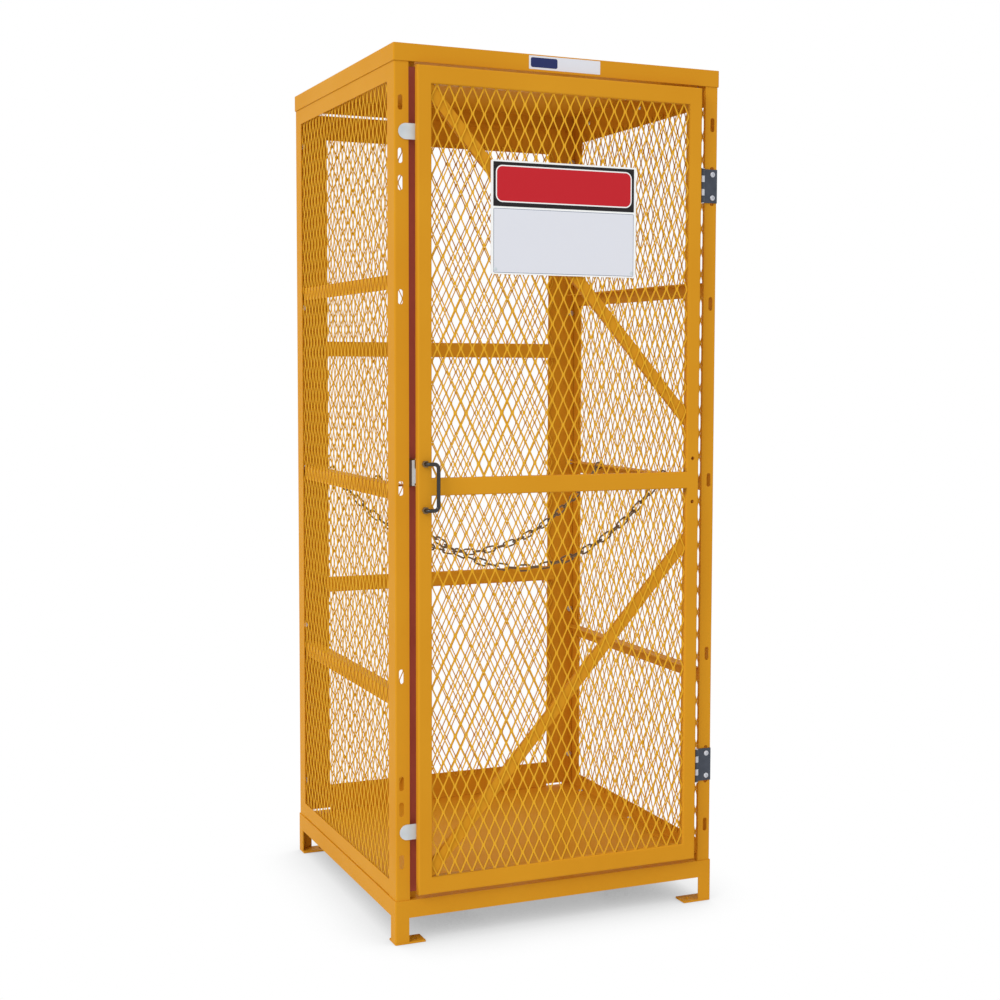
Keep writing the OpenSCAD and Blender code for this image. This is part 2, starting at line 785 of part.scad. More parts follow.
module chain_link() {
  for (s = [0, 1]) {
    rotate([0, 0, 180 * s]) translate([link_straight / 2, 0, 0])
      rotate([0, 0, -90]) rotate_extrude(angle = 180) translate([link_bend, 0]) circle(d = link_wire);
    translate([0, (2 * s - 1) * link_bend, 0]) rotate([0, 90, 0])
      cylinder(d = link_wire, h = link_straight, center = true);
  }
}

module chain(y) color(dark_zinc) translate([0, y, 0]) rotate([0, 0, -chain_slant])
  for (k = [0 : links - 1]) {
    run = (k - (links - 1) / 2) * link_run;
    translate([chain_a * asinh(run / chain_a), 0, chain_low + sqrt(chain_a * chain_a + run * run)])
      rotate([0, -atan(run / chain_a), 0]) rotate([90 * (k % 2), 0, 0]) chain_link();
  }

// Rings at the ends of the chains, each in the plane of its chain
module chain_eyes() color(dark_zinc) for (s = [0, 1], y = [-eye_front_y, eye_rear_y]) {
  rotate([0, 0, 180 * s]) translate([-eye_x, y, eye_z]) rotate([90, 0, -chain_slant])
    rotate_extrude() translate([eye_bend, 0]) circle(d = link_wire);
}

// Fasteners of the flat-packed panels

module at_frame_bolts() {
  for (x = [-1, 1], k = [-2 : 2]) {
    translate([x * slot_x, 0, mid_z + k * slot_pitch]) children();
  }
}

module frame_bolts() color(zinc) at_frame_bolts() {
  translate([0, back_face_y, 0]) rotate([90, 0, 0])
    cylinder(d = bolt_af / cos(30), h = bolt_head_ratio * bolt_d, $fn = 6);
  rod_along_y(bolt_d, back_face_y, back_face_y + bolt_len);
}

module frame_nuts() color(zinc) at_frame_bolts()
  hex_nut(post_y, 1, bolt_d + 2 * end_clear, bolt_af, nut_ratio * bolt_d, nut_flange_ratio);

// Screw with its thread end at the origin and its head past the grip
module rim_screw(grip) {
  cylinder(d = screw_d, h = grip);
  translate([0, 0, grip]) cylinder(d = screw_head_d, h = screw_head_h);
}

// The base screws hold the bottom rails, and studs on the inside of the roof rim hold the top rails
module rim_screws() color(zinc) {
  translate([0, 0, base_top - sheet_t]) rim_screw_points() rim_screw(sheet_t + post_t);
  for (s = [-1, 1], k = [-1, 0, 1]) {
    translate([s * post_x, k * rim_screw_pitch, roof_screw_z]) rotate([0, -90 * s, 0]) rim_screw(post_t);
  }
}

base_tray();
leg(-1, -1);  // leg_front_left
leg(1, -1);  // leg_front_right
leg(-1, 1);  // leg_rear_left
leg(1, 1);  // leg_rear_right
foot_plates();
roof_panel();
post(false, false);  // left_front_post
post(false, true);  // left_rear_post
top_rail(false);  // left_top_rail
bottom_rail(false);  // left_bottom_rail
side_crossbar(false, 1);  // left_crossbar_upper
side_crossbar(false, 0);  // left_crossbar_middle
side_crossbar(false, -1);  // left_crossbar_lower
side_mesh(false);  // left_mesh
post(true, false);  // right_front_post
post(true, true);  // right_rear_post
top_rail(true);  // right_top_rail
bottom_rail(true);  // right_bottom_rail
side_crossbar(true, 1);  // right_crossbar_upper
side_crossbar(true, 0);  // right_crossbar_middle
side_crossbar(true, -1);  // right_crossbar_lower
side_mesh(true);  // right_mesh
back_stile(false);  // back_stile_left
back_stile(true);  // back_stile_right
back_rail(back_high - back_rail_h, back_high);  // back_top_rail
back_rail(base_top, back_low + back_rail_h);  // back_bottom_rail
back_crossbar(1);  // back_crossbar_upper
back_crossbar(-1);  // back_crossbar_lower
back_mesh();
door_stile(door_left, handle_x);  // door_stile_latch
door_stile(door_in_right, spare_x);  // door_stile_hinge
door_rail(door_high - door_rail_h);  // door_top_rail
door_rail(door_mid - door_rail_h / 2);  // door_mid_rail
door_rail(door_low);  // door_bottom_rail
door_brace(1);  // door_brace_upper
door_brace(-1);  // door_brace_lower
door_mesh(door_mid + (door_rail_h + half_open_h) / 2);  // door_mesh_upper
door_mesh(door_mid - (door_rail_h + half_open_h) / 2);  // door_mesh_lower
pull_handle();
handle_nuts();
door_stops();
sign_plate();
sign_rivets();
post_leaf(1);  // upper_post_leaf
post_leaf(-1);  // lower_post_leaf
door_leaf(1);  // upper_door_leaf
door_leaf(-1);  // lower_door_leaf
hinge_pins();
hinge_screws();
hinge_nuts();
catch_case();
catch_screws();
strike_plate();
chain(-chain_y);  // front_chain
chain(chain_y);  // rear_chain
chain_eyes();
frame_bolts();
frame_nuts();
rim_screws();
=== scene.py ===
"""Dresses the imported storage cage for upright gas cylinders.

The construction comes from the frame as exact nodes.  This script gives every
visible surface its finish, turns the mesh walls into raised expanded metal,
rounds the edges of the coated steel, and adds the faces of the sign and the
small fittings.
"""

import json
import logging
import math
from dataclasses import dataclass, field
from enum import Enum

import bmesh
import bpy
from mathutils import Matrix, Vector

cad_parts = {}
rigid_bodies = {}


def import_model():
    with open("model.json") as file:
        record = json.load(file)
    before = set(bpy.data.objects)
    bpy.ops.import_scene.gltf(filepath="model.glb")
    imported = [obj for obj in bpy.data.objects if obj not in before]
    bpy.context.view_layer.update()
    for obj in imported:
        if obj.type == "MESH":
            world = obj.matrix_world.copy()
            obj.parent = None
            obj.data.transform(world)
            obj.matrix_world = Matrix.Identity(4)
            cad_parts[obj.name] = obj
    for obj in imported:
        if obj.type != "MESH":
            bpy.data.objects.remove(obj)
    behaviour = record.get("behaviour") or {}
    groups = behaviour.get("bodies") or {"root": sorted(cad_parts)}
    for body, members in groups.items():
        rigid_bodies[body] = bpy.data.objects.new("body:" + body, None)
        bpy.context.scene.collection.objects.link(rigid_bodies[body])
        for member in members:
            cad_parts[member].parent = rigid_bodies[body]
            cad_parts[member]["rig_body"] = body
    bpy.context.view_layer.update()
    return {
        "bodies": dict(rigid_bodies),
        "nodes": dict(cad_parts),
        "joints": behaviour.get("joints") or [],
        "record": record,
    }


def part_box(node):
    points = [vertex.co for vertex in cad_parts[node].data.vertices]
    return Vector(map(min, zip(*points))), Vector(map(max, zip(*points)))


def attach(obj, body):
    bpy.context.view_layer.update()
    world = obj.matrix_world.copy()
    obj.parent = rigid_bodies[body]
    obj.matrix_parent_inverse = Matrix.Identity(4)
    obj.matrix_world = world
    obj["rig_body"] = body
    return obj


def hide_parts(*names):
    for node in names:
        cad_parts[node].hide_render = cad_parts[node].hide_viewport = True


log = logging.getLogger("cage")

MM = 0.001
WELD_REACH = 0.002 * MM
CUT_REACH = 0.001 * MM
WHITE = (1.0, 1.0, 1.0, 1.0)


def linear(rgb: tuple[int, int, int]) -> tuple[float, float, float, float]:
    """Turns a display colour into the linear colour that shaders take.

    Args:
        rgb: Red, green and blue from 0 to 255.

    Returns:
        The linear colour with an alpha of 1.
    """
    def channel(value: int) -> float:
        """Returns one linear channel."""
        v = value / 255
        return v / 12.92 if v <= 0.04045 else ((v + 0.055) / 1.055) ** 2.4

    return (*map(channel, rgb), 1.0)


class Slot(Enum):
    """Material slots of the record."""

    COAT = "yellow_powder_coat"
    MESH = "yellow_mesh"
    BRIGHT = "bright_zinc"
    DARK = "dark_zinc"
    BOARD = "sign_board"


class NodeBuilder:
    """Places and links shader nodes in one node tree."""

    def __init__(self, tree: bpy.types.NodeTree) -> None:
        """Starts on a tree, which it empties.

        Args:
            tree: The node tree to fill.
        """
        self.tree = tree
        tree.nodes.clear()

    def add(self, kind: str, settings: dict | None = None, **inputs: object) -> bpy.types.Node:
        """Adds a node, sets its options and feeds its inputs.

        Args:
            kind: The node's type name.
            settings: Options set on the node itself.
            **inputs: Values or sockets by input name, with _ for a space.

        Returns:
            The new node.
        """
        node = self.tree.nodes.new(kind)
        for key, value in (settings or {}).items():
            setattr(node, key, value)
        for key, value in inputs.items():
            self.feed(node.inputs[key.replace("_", " ")], value)
        return node

    def feed(self, socket: bpy.types.NodeSocket, value: object) -> None:
        """Links a socket into an input, or sets the input's own value.

        Args:
            socket: The input.
            value: An output socket or a plain value.
        """
        if isinstance(value, bpy.types.NodeSocket):
            self.tree.links.new(value, socket)
        else:
            socket.default_value = value

    def combine(self, kind: str, settings: dict, *values: object) -> bpy.types.NodeSocket:
        """Adds a node whose inputs share a name, and feeds them in their order.

        Args:
            kind: The node's type name.
            settings: Options set on the node itself.
            *values: Values or sockets, one for each input from the first on.

        Returns:
            The node's first output.
        """
        node = self.add(kind, settings)
        for socket, value in zip(node.inputs, values):
            self.feed(socket, value)
        return node.outputs[0]


class GrainGroup:
    """Node group of slow colour drift, uneven gloss and fine grain of a finish."""

    NAME = "finish grain"
    NOISE_LOW = 0.3
    NOISE_HIGH = 0.7
    DRIFT_DETAIL = 4.0
    GRAIN_DETAIL = 2.0
    MIX_FACTOR, MIX_FIRST, MIX_SECOND, MIX_RESULT = 0, 6, 7, 2

    @classmethod
    def get(cls) -> bpy.types.NodeTree:
        """Returns the group, which is built once."""
        return bpy.data.node_groups.get(cls.NAME) or cls.build()

    @classmethod
    def build(cls) -> bpy.types.NodeTree:
        """Builds the group.

        Returns:
            The node group.
        """
        tree = bpy.data.node_groups.new(cls.NAME, "ShaderNodeTree")
        face = tree.interface
        face.new_socket("Place", in_out="INPUT", socket_type="NodeSocketVector")
        for name in ("Colour", "Shade"):
            face.new_socket(name, in_out="INPUT", socket_type="NodeSocketColor")
        for name in ("Drift Scale", "Drift", "Gloss Low", "Gloss High", "Grain Scale"):
            face.new_socket(name, in_out="INPUT", socket_type="NodeSocketFloat")
        face.new_socket("Colour", in_out="OUTPUT", socket_type="NodeSocketColor")
        for name in ("Roughness", "Height"):
            face.new_socket(name, in_out="OUTPUT", socket_type="NodeSocketFloat")
        b = NodeBuilder(tree)
        given = b.add("NodeGroupInput").outputs
        drift = b.add("ShaderNodeTexNoise", Vector=given["Place"], Scale=given["Drift Scale"],
                      Detail=cls.DRIFT_DETAIL)
        spread = b.add("ShaderNodeMapRange", Value=drift.outputs["Fac"],
                       From_Min=cls.NOISE_LOW, From_Max=cls.NOISE_HIGH)
        amount = b.combine("ShaderNodeMath", {"operation": "MULTIPLY"},
                           spread.outputs["Result"], given["Drift"])
        tint = b.add("ShaderNodeMix", {"data_type": "RGBA"})
        b.feed(tint.inputs[cls.MIX_FACTOR], amount)
        b.feed(tint.inputs[cls.MIX_FIRST], given["Colour"])
        b.feed(tint.inputs[cls.MIX_SECOND], given["Shade"])
        grain = b.add("ShaderNodeTexNoise", Vector=given["Place"], Scale=given["Grain Scale"],
                      Detail=cls.GRAIN_DETAIL)
        gloss = b.add("ShaderNodeMapRange", Value=spread.outputs["Result"],
                      To_Min=given["Gloss Low"], To_Max=given["Gloss High"])
        out = b.add("NodeGroupOutput")
        b.feed(out.inputs["Colour"], tint.outputs[cls.MIX_RESULT])
        b.feed(out.inputs["Roughness"], gloss.outputs["Result"])
        b.feed(out.inputs["Height"], grain.outputs["Fac"])
        return tree


@dataclass(frozen=True)
class Finish:
    """A surface finish as it reads in plain daylight."""

    name: str
    colour: tuple[int, int, int]
    shade: tuple[int, int, int]
    gloss: tuple[float, float] = (0.35, 0.5)
    metallic: float = 0.0
    drift_scale: float = 3.0
    drift: float = 0.5
    grain_scale: float = 900.0
    grain_depth: float = 0.05 * MM
    specular: float = 0.5

    def material(self) -> bpy.types.Material:
        """Returns the finish's material, which is built once."""
        return bpy.data.materials.get(self.name) or self.build()

    def build(self) -> bpy.types.Material:
        """Builds the material.

        Returns:
            The new material.
        """
        material = bpy.data.materials.new(self.name)
        material.use_nodes = True
        b = NodeBuilder(material.node_tree)
        place = b.add("ShaderNodeTexCoord").outputs["Object"]
        grain = b.add("ShaderNodeGroup", {"node_tree": GrainGroup.get()}, Place=place,
                      Colour=linear(self.colour), Shade=linear(self.shade),
                      Drift_Scale=self.drift_scale, Drift=self.drift,
                      Gloss_Low=self.gloss[0], Gloss_High=self.gloss[1],
                      Grain_Scale=self.grain_scale)
        bump = b.add("ShaderNodeBump", Strength=1.0, Distance=self.grain_depth,
                     Height=grain.outputs["Height"])
        surface = b.add("ShaderNodeBsdfPrincipled", Metallic=self.metallic,
                        Specular_IOR_Level=self.specular,
                        Base_Color=grain.outputs["Colour"], Roughness=grain.outputs["Roughness"],
                        Normal=bump.outputs["Normal"])
        b.add("ShaderNodeOutputMaterial", Surface=surface.outputs["BSDF"])
        return material


COAT = Finish("yellow powder coat", (216, 152, 38), (206, 138, 30), gloss=(0.36, 0.46),
              drift=0.6, specular=0.02)
MESH_COAT = Finish("mesh powder coat", (224, 170, 46), (212, 152, 36), gloss=(0.4, 0.5),
                   drift=0.6, specular=0.02)
BRIGHT_ZINC = Finish("bright zinc plate", (206, 208, 214), (176, 178, 186), gloss=(0.3, 0.42),
                     metallic=0.75, drift_scale=60.0, grain_scale=1500.0, grain_depth=0.02 * MM)
PALE_ZINC = Finish("pale passivated zinc", (208, 217, 222), (184, 194, 202), gloss=(0.4, 0.5),
                   metallic=0.1, drift_scale=40.0, grain_scale=1500.0, grain_depth=0.02 * MM)
# Grey zinc tinted warm brown: the tint is a painted reflection of the yellow cage.
CHAIN_ZINC = Finish("chain zinc with painted warm reflection", (128, 106, 76), (86, 68, 50), gloss=(0.3, 0.45),
                    metallic=0.5, drift_scale=50.0, grain_scale=1300.0, grain_depth=0.03 * MM)
GLOSS_BLACK = Finish("gloss black handle", (26, 22, 20), (18, 16, 14), gloss=(0.12, 0.2),
                     drift_scale=50.0, grain_depth=0.01 * MM, specular=0.6)
LEAF_ZINC = Finish("blue grey hinge leaf", (66, 72, 84), (42, 48, 58), gloss=(0.35, 0.45),
                   metallic=0.3, drift_scale=60.0, grain_scale=1300.0, grain_depth=0.03 * MM)
CATCH_CASE = Finish("brown catch case", (66, 46, 36), (52, 36, 30), gloss=(0.4, 0.5), drift=0.4)
# Painted shade: this red brown stands in for the shade in the gap between the latch post and the
# door.
PAINTED_GAP_SHADE = Finish("red brown painted gap shade", (190, 96, 76), (172, 84, 66), gloss=(0.6, 0.75),
                       drift_scale=12.0, grain_depth=0.08 * MM, specular=0.25)
BOARD = Finish("white sign board", (246, 247, 246), (238, 240, 240), gloss=(0.35, 0.45), drift=0.3)
FILM_BLACK = Finish("black film", (22, 18, 20), (28, 24, 26), gloss=(0.3, 0.4), drift=0.3,
                    specular=0.25)
FILM_RED = Finish("red film", (196, 22, 36), (184, 16, 30), gloss=(0.3, 0.4), drift=0.3,
                  specular=0.25)
FILM_PALE = Finish("pale film", (224, 226, 234), (216, 219, 228), gloss=(0.35, 0.45), drift=0.3)
FILM_LINE = Finish("blue grey film", (104, 118, 142), (96, 110, 134), gloss=(0.35, 0.45), drift=0.3)
FILM_BLUE = Finish("deep blue film", (30, 42, 98), (24, 36, 86), gloss=(0.3, 0.4), drift=0.3,
                   specular=0.25)

SLOT_FINISH = {
    Slot.COAT: COAT,
    Slot.MESH: MESH_COAT,
    Slot.BRIGHT: BRIGHT_ZINC,
    Slot.DARK: CHAIN_ZINC,
    Slot.BOARD: BOARD,
}
NODE_FINISH = {"pull_handle": GLOSS_BLACK}


def cut_across(bm: bmesh.types.BMesh, axis: int, level: float) -> None:
    """Cuts a mesh along a plane without taking anything away.

    Args:
        bm: The mesh to cut.
        axis: The axis that the plane stands across.
        level: The place of the plane on that axis.
    """
    place, way = Vector(), Vector()
    place[axis], way[axis] = level, 1.0
    bmesh.ops.bisect_plane(bm, geom=bm.verts[:] + bm.edges[:] + bm.faces[:], dist=CUT_REACH,
                           plane_co=place, plane_no=way)


def draw_out(bm: bmesh.types.BMesh, faces: list[bmesh.types.BMFace], depth: float) -> None:
    """Draws faces out to the back, with walls round them, and keeps the first faces.

    Args:
        bm: The mesh to change.
        faces: The faces to draw out.
        depth: How far they go.
    """
    grown = bmesh.ops.extrude_face_region(bm, geom=faces)["geom"]
    bmesh.ops.translate(bm, verts=[v for v in grown if isinstance(v, bmesh.types.BMVert)],
                        vec=(0, depth, 0))


class Workshop:
    """Holds the frame, and finishes, names and mounts each new piece."""

    FLATNESS = math.radians(0.5)
    CORNER_STEPS = 8

    def __init__(self, frame: dict) -> None:
        """Takes the frame.
        """
        self.nodes: dict[str, bpy.types.Object] = frame["nodes"]
        self.body_of = {name: node["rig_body"] for name, node in self.nodes.items()}
        self.slot_of = {name: Slot(node.data.materials[0].name)
                        for name, node in self.nodes.items()}

    def of_slot(self, slot: Slot) -> list[str]:
        """Returns the names of the nodes of one slot, in order."""
        return sorted(name for name, own in self.slot_of.items() if own is slot)

    def merged_copy(self, node: str) -> bmesh.types.BMesh:
        """Copies a node's mesh with its loose triangles joined into whole faces.

        Args:
            node: The node to copy.

        Returns:
            The joined mesh.
        """
        bm = bmesh.new()
        bm.from_mesh(self.nodes[node].data)
        bmesh.ops.remove_doubles(bm, verts=bm.verts, dist=WELD_REACH)
        bmesh.ops.dissolve_limit(bm, angle_limit=self.FLATNESS, verts=bm.verts, edges=bm.edges)
        return bm

    def islands(self, node: str) -> list[tuple[Vector, Vector]]:
        """Finds the box of each separate solid of a node.

        Args:
            node: The node to look at.

        Returns:
            The lowest and highest corner of each solid.
        """
        bm = self.merged_copy(node)
        left, boxes = set(bm.verts), []
        while left:
            reached = [left.pop()]
            for vert in reached:
                near = {edge.other_vert(vert) for edge in vert.link_edges} & left
                left -= near
                reached.extend(near)
            boxes.append(tuple(Vector([pick(v.co[k] for v in reached) for k in range(3)])
                               for pick in (min, max)))
        bm.free()
        return sorted(boxes, key=lambda box: tuple(box[0]))

    def plate(self, low: Vector, high: Vector, corner: float = 0.0) -> bmesh.types.BMesh:
        """Makes a plate that faces forward.

        Args:
            low: Its lowest corner.
            high: Its highest corner.
            corner: The radius of its four corners, or 0 for square ones.

        Returns:
            The plate's mesh.
        """
        bm = bmesh.new()
        size = high - low
        place = Matrix.Translation((low + high) / 2) @ Matrix.Diagonal((*size, 1.0))
        bmesh.ops.create_cube(bm, size=1.0, matrix=place)
        if corner:
            through = [e for e in bm.edges if abs(e.verts[0].co.y - e.verts[1].co.y) > size.y / 2]
            bmesh.ops.bevel(bm, geom=through, offset=corner, segments=self.CORNER_STEPS,
                            profile=0.5, affect="EDGES", material=-1)
        return bm

    def round_edges(self, piece: bpy.types.Object, radius: float, segments: int = 2) -> None:
        """Rounds the weighted edges of a piece.

        Args:
            piece: The piece.
            radius: The radius of an edge of full weight.
            segments: How many faces go round an edge.
        """
        rounding = piece.modifiers.new("edges", "BEVEL")
        rounding.width = radius
        rounding.segments = segments
        rounding.limit_method = "WEIGHT"
        rounding.use_clamp_overlap = True
        flats = piece.modifiers.new("flat faces", "WEIGHTED_NORMAL")
        flats.keep_sharp = True

    def mount(self, name: str, bm: bmesh.types.BMesh, finish: Finish, slot: Slot, body: str,
              replaces: tuple[str, ...] = (), smooth: float | None = 40.0) -> bpy.types.Object:
        """Turns a finished mesh into a piece that rides on its body.

        Args:
            name: The piece's name.
            bm: Its mesh, in the frame's place, which is used up.
            finish: Its finish.
            slot: Its slot in the record; not used.
            body: The body that it rides on.
            replaces: Nodes that it stands for.
            smooth: Largest angle between faces that is shaded round, in degrees, or None
                where the mesh already says which edges are sharp.

        Returns:
            The piece.
        """
        mesh = bpy.data.meshes.new(name)
        bm.to_mesh(mesh)
        bm.free()
        mesh.shade_smooth()
        if smooth is not None:
            mesh.set_sharp_from_angle(angle=math.radians(smooth))
        mesh.materials.append(finish.material())
        piece = bpy.data.objects.new(name, mesh)
        bpy.context.scene.collection.objects.link(piece)
        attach(piece, body)
        if replaces:
            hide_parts(*replaces)
        log.info("%s: %d faces, on %s", name, len(mesh.polygons), body)
        return piece


@dataclass
class RoundedParts:
    """Steel parts with the small edge radius that their coat or plating gives them."""

    shop: Workshop
    coat_radius: float = 0.8 * MM
    plate_radius: float = 0.35 * MM
    sharpest: float = math.radians(30)
    on_plane: float = 0.01 * MM
    fittings: dict[str, Finish] = field(default_factory=lambda: {
        "door_stops": PALE_ZINC, "strike_plate": PALE_ZINC, "catch_case": CATCH_CASE,
        "handle_nuts": CHAIN_ZINC, "frame_nuts": BRIGHT_ZINC, "frame_bolts": BRIGHT_ZINC,
        "hinge_nuts": BRIGHT_ZINC, "upper_post_leaf": LEAF_ZINC, "lower_post_leaf": LEAF_ZINC,
        "upper_door_leaf": BRIGHT_ZINC, "lower_door_leaf": BRIGHT_ZINC, "sign_plate": BOARD})

    def build(self) -> None:
        """Makes one rounded piece for each coated node and each plated fitting."""
        for node in self.shop.of_slot(Slot.COAT):
            if node not in DoorFrame.TUBES:
                self.piece(f"coated_{node}", node, COAT, self.coat_radius, self.joints(node))
        for node, finish in self.fittings.items():
            self.piece(f"rounded_{node}", node, finish, self.plate_radius, ())

    def joints(self, node: str) -> tuple[tuple[int, float], ...]:
        """Names the planes on which a part is welded flush to its neighbour.

        Args:
            node: The coated node.

        Returns:
            The axis and distance of each plane, the same on both sides.
        """
        if node != "base_tray" and not node.startswith("leg_"):
            return ()
        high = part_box("leg_front_left")[1]
        return (0, abs(high.x)), (1, abs(high.y)), (2, high.z)

    def piece(self, name: str, node: str, finish: Finish, radius: float,
              joints: tuple[tuple[int, float], ...]) -> None:
        """Makes the rounded piece of one node.

        Args:
            name: The piece's name.
            node: The node that it stands for.
            finish: Its finish.
            radius: The radius of its edges.
            joints: Planes on which the edges stay sharp.
        """
        bm = self.shop.merged_copy(node)
        weight = bm.edges.layers.float.new("bevel_weight_edge")
        for edge in bm.edges:
            flush = any(all(abs(abs(v.co[axis]) - level) < self.on_plane for v in edge.verts)
                        for axis, level in joints)
            turned = edge.calc_face_angle(0.0) > self.sharpest
            edge[weight] = float(turned and not flush)
            edge.smooth = not (turned and flush)
        piece = self.shop.mount(name, bm, finish, self.shop.slot_of[node],
                                self.shop.body_of[node], (node,), smooth=None)
        self.shop.round_edges(piece, radius)


@dataclass
class DoorFrame:
    """The welded door frame as one seamless piece with its two spare handle holes."""

    shop: Workshop
    tube_radius: float = 3.0 * MM
    hole_radius: float = 4.2 * MM
    hole_cell: float = 8.0 * MM
    hole_steps: int = 16
    handle_pitch: float = 94.0 * MM
    edge_steps: int = 3
    sharpest: float = math.radians(60)

    STILES = ("door_stile_latch", "door_stile_hinge")
    RAILS = ("door_bottom_rail", "door_mid_rail", "door_top_rail")
    TUBES = (*STILES, *RAILS)

    def build(self) -> None:
        """Builds the frame from the boxes of its tubes."""
        latch, hinge = (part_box(node) for node in self.STILES)
        rails = [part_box(node) for node in self.RAILS]
        front, back = latch[0].y, latch[1].y
        middle = (rails[1][0].z + rails[1][1].z) / 2
        column = (hinge[0].x + hinge[1].x) / 2
        holes = [Vector((column, front, middle + side * self.handle_pitch / 2)) for side in (-1, 1)]
        bm = bmesh.new()
        self.blank(bm, (latch[0], hinge[1]), front)
        for level in (latch[1].x, hinge[0].x, column - self.hole_cell, column + self.hole_cell):
            cut_across(bm, 0, level)
        rail_edges = [level for low, high in rails for level in (low.z, high.z)][1:-1]
        cell_edges = [hole.z + side * self.hole_cell for hole in holes for side in (-1, 1)]
        for level in rail_edges + cell_edges:
            cut_across(bm, 2, level)
        for lower, upper in zip(rails, rails[1:]):
            inside = [f for f in bm.faces if latch[1].x < f.calc_center_median().x < hinge[0].x
                      and lower[1].z < f.calc_center_median().z < upper[0].z]
            bmesh.ops.delete(bm, geom=inside, context="FACES")
        for hole in holes:
            self.drill(bm, hole)
        draw_out(bm, bm.faces[:], back - front)
        bmesh.ops.recalc_face_normals(bm, faces=bm.faces)
        self.weigh_edges(bm, holes, back - front)
        piece = self.shop.mount("coated_door_frame", bm, COAT, Slot.COAT,
                                self.shop.body_of[self.TUBES[0]], self.TUBES, smooth=None)
        self.shop.round_edges(piece, self.tube_radius, segments=self.edge_steps)

    def weigh_edges(self, bm: bmesh.types.BMesh, holes: list[Vector], depth: float) -> None:
        """Marks the tubes' long edges to be rounded, and keeps holes and inner corners sharp.

        Args:
            bm: The mesh of the frame.
            holes: The middle of each hole.
            depth: The depth of the tubes.
        """
        weight = bm.edges.layers.float.new("bevel_weight_edge")
        reach = (self.hole_cell + self.hole_radius) / 2
        for edge in bm.edges:
            centre = (edge.verts[0].co + edge.verts[1].co) / 2
            at_hole = any((centre - hole).xz.length < reach for hole in holes)
            along_depth = abs(edge.verts[0].co.y - edge.verts[1].co.y) > depth / 2
            turned = edge.calc_face_angle(0.0) > self.sharpest
            edge[weight] = float(turned and not at_hole and not along_depth)
            edge.smooth = not (turned and (at_hole or along_depth))

    def blank(self, bm: bmesh.types.BMesh, corners: tuple[Vector, Vector], front: float) -> None:
        """Adds the uncut face of the frame.

        Args:
            bm: The mesh to add to.
            corners: Its lowest and highest corner.
            front: The plane of the face.
        """
        low, high = corners
        places = ((low.x, low.z), (high.x, low.z), (high.x, high.z), (low.x, high.z))
        bm.faces.new([bm.verts.new((x, front, z)) for x, z in places])

    def drill(self, bm: bmesh.types.BMesh, hole: Vector) -> None:
        """Opens a round hole in the square cell round its middle.

        Args:
            bm: The mesh to change.
            hole: The middle of the hole.
        """
        cell = min(bm.faces, key=lambda face: (face.calc_center_median() - hole).length)
        outer = list(cell.edges)
        bmesh.ops.delete(bm, geom=[cell], context="FACES_ONLY")
        place = Matrix.Translation(hole) @ Matrix.Rotation(math.radians(90), 4, "X")
        rim = bmesh.ops.create_circle(bm, segments=self.hole_steps, radius=self.hole_radius,
                                      matrix=place)
        inner = {edge for vert in rim["verts"] for edge in vert.link_edges}
        bmesh.ops.bridge_loops(bm, edges=outer + list(inner))


